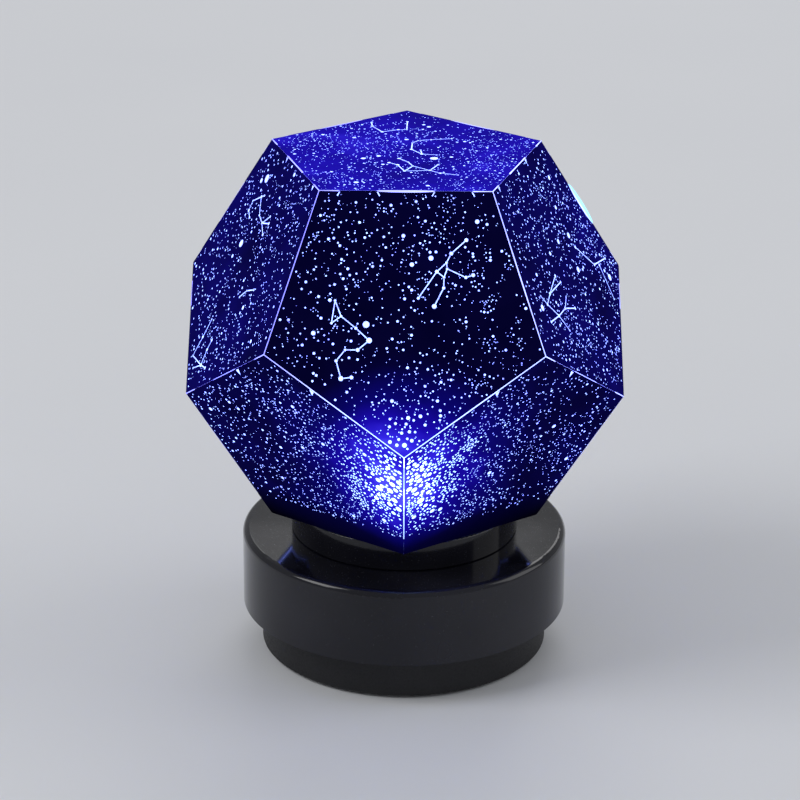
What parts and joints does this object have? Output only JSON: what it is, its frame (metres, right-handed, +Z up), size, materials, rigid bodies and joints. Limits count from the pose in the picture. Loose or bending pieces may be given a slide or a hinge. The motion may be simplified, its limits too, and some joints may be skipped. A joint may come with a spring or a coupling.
{
  "type": "star projector lamp",
  "caption": "Dodecahedral home planetarium: folded star-chart film sheets on a motor-driven turntable over a round two-step base with a lamp, push buttons and a sliding battery door.",
  "frame": {"origin": "on the axis of the base, at the surface that the rubber feet stand on", "axes": "+Z up along the base's and the shade's axis, -Y is the front, the buttons are at +Y"},
  "size_m": [0.157, 0.1652, 0.1906],
  "materials": {
    "sheet_film": "printed black film with clear dots",
    "base_plastic": "glossy moulded black plastic",
    "foot_plastic": "fine-grained moulded black plastic",
    "inner_plastic": "plain moulded dark plastic",
    "white_plastic": "plain white plastic",
    "frosted_plastic": "frosted clear plastic, lit from inside",
    "gear_plastic": "natural acetal",
    "rubber": "soft black rubber",
    "screw_steel": "zinc-plated steel",
    "spring_steel": "nickel-plated spring wire",
    "motor_steel": "plated steel can",
    "socket_steel": "drawn steel shell",
    "board_green": "solder-masked board",
    "board_white": "white aluminium-core board",
    "part_black": "moulded component plastic",
    "cell_sleeve": "plain printed sleeve over a metal can",
    "lead_sleeve": "insulated lead"
  },
  "bodies": {
    "base": {"base_housing": "base_plastic", "base_foot": "foot_plastic", "rubber_feet": "rubber", "thrust_washer": "white_plastic", "motor_case": "motor_steel", "lamp_post": "inner_plastic", "lamp_cup": "white_plastic", "lamp_board": "board_white", "lamp_chip": "frosted_plastic", "lamp_dome": "frosted_plastic", "main_board": "board_green", "board_parts": "part_black", "usb_socket": "socket_steel", "button_board": "board_green", "button_switches": "part_black", "battery_springs": "spring_steel", "battery_contacts": "spring_steel", "battery_cell_1": "cell_sleeve", "battery_cell_2": "cell_sleeve", "battery_cell_3": "cell_sleeve", "lamp_lead": "lead_sleeve", "motor_lead": "lead_sleeve", "button_lead": "lead_sleeve", "battery_lead": "lead_sleeve", "housing_screws": "screw_steel", "motor_screws": "screw_steel", "post_screws": "screw_steel", "board_screws": "screw_steel"},
    "turntable": {"turntable": "base_plastic", "drive_gear": "gear_plastic", "gear_screws": "screw_steel", "shade_holder": "inner_plastic", "holder_screws": "screw_steel", "sheet_top": "sheet_film", "sheet_upper_1": "sheet_film", "sheet_upper_2": "sheet_film", "sheet_upper_3": "sheet_film", "sheet_upper_4": "sheet_film", "sheet_upper_5": "sheet_film", "sheet_lower_1": "sheet_film", "sheet_lower_2": "sheet_film", "sheet_lower_3": "sheet_film", "sheet_lower_4": "sheet_film", "sheet_lower_5": "sheet_film"},
    "motor_rotor": {"motor_shaft": "screw_steel", "motor_pinion": "gear_plastic"},
    "power_button": {"power_button": "base_plastic", "power_plunger": "white_plastic"},
    "colour_button": {"colour_button": "base_plastic", "colour_plunger": "white_plastic"},
    "spin_button": {"spin_button": "base_plastic", "spin_plunger": "white_plastic"},
    "battery_door": {"battery_door": "foot_plastic"}
  },
  "joints": [
    {"name": "turntable_spin", "type": "hinge", "parent": "base", "child": "turntable", "pos_m": [0, 0, 0.046], "axis": [0, 0, 1], "continuous": true},
    {"name": "motor_spin", "type": "hinge", "parent": "base", "child": "motor_rotor", "pos_m": [-0.0315, 0, 0.038], "axis": [0, 0, 1], "continuous": true},
    {"name": "power_press", "type": "slide", "parent": "base", "child": "power_button", "axis": [0, -1, 0], "range_m": [0, 0.0007], "stiffness_N_per_m": 600},
    {"name": "colour_press", "type": "slide", "parent": "base", "child": "colour_button", "axis": [0, -1, 0], "range_m": [0, 0.0007], "stiffness_N_per_m": 600},
    {"name": "spin_press", "type": "slide", "parent": "base", "child": "spin_button", "axis": [0, -1, 0], "range_m": [0, 0.0007], "stiffness_N_per_m": 600},
    {"name": "battery_door_slide", "type": "slide", "parent": "base", "child": "battery_door", "axis": [0, 1, 0], "range_m": [0, 0.066]}
  ],
  "couplings": [
    {"joint": "motor_spin", "follows": "turntable_spin", "ratio": -4}
  ]
}
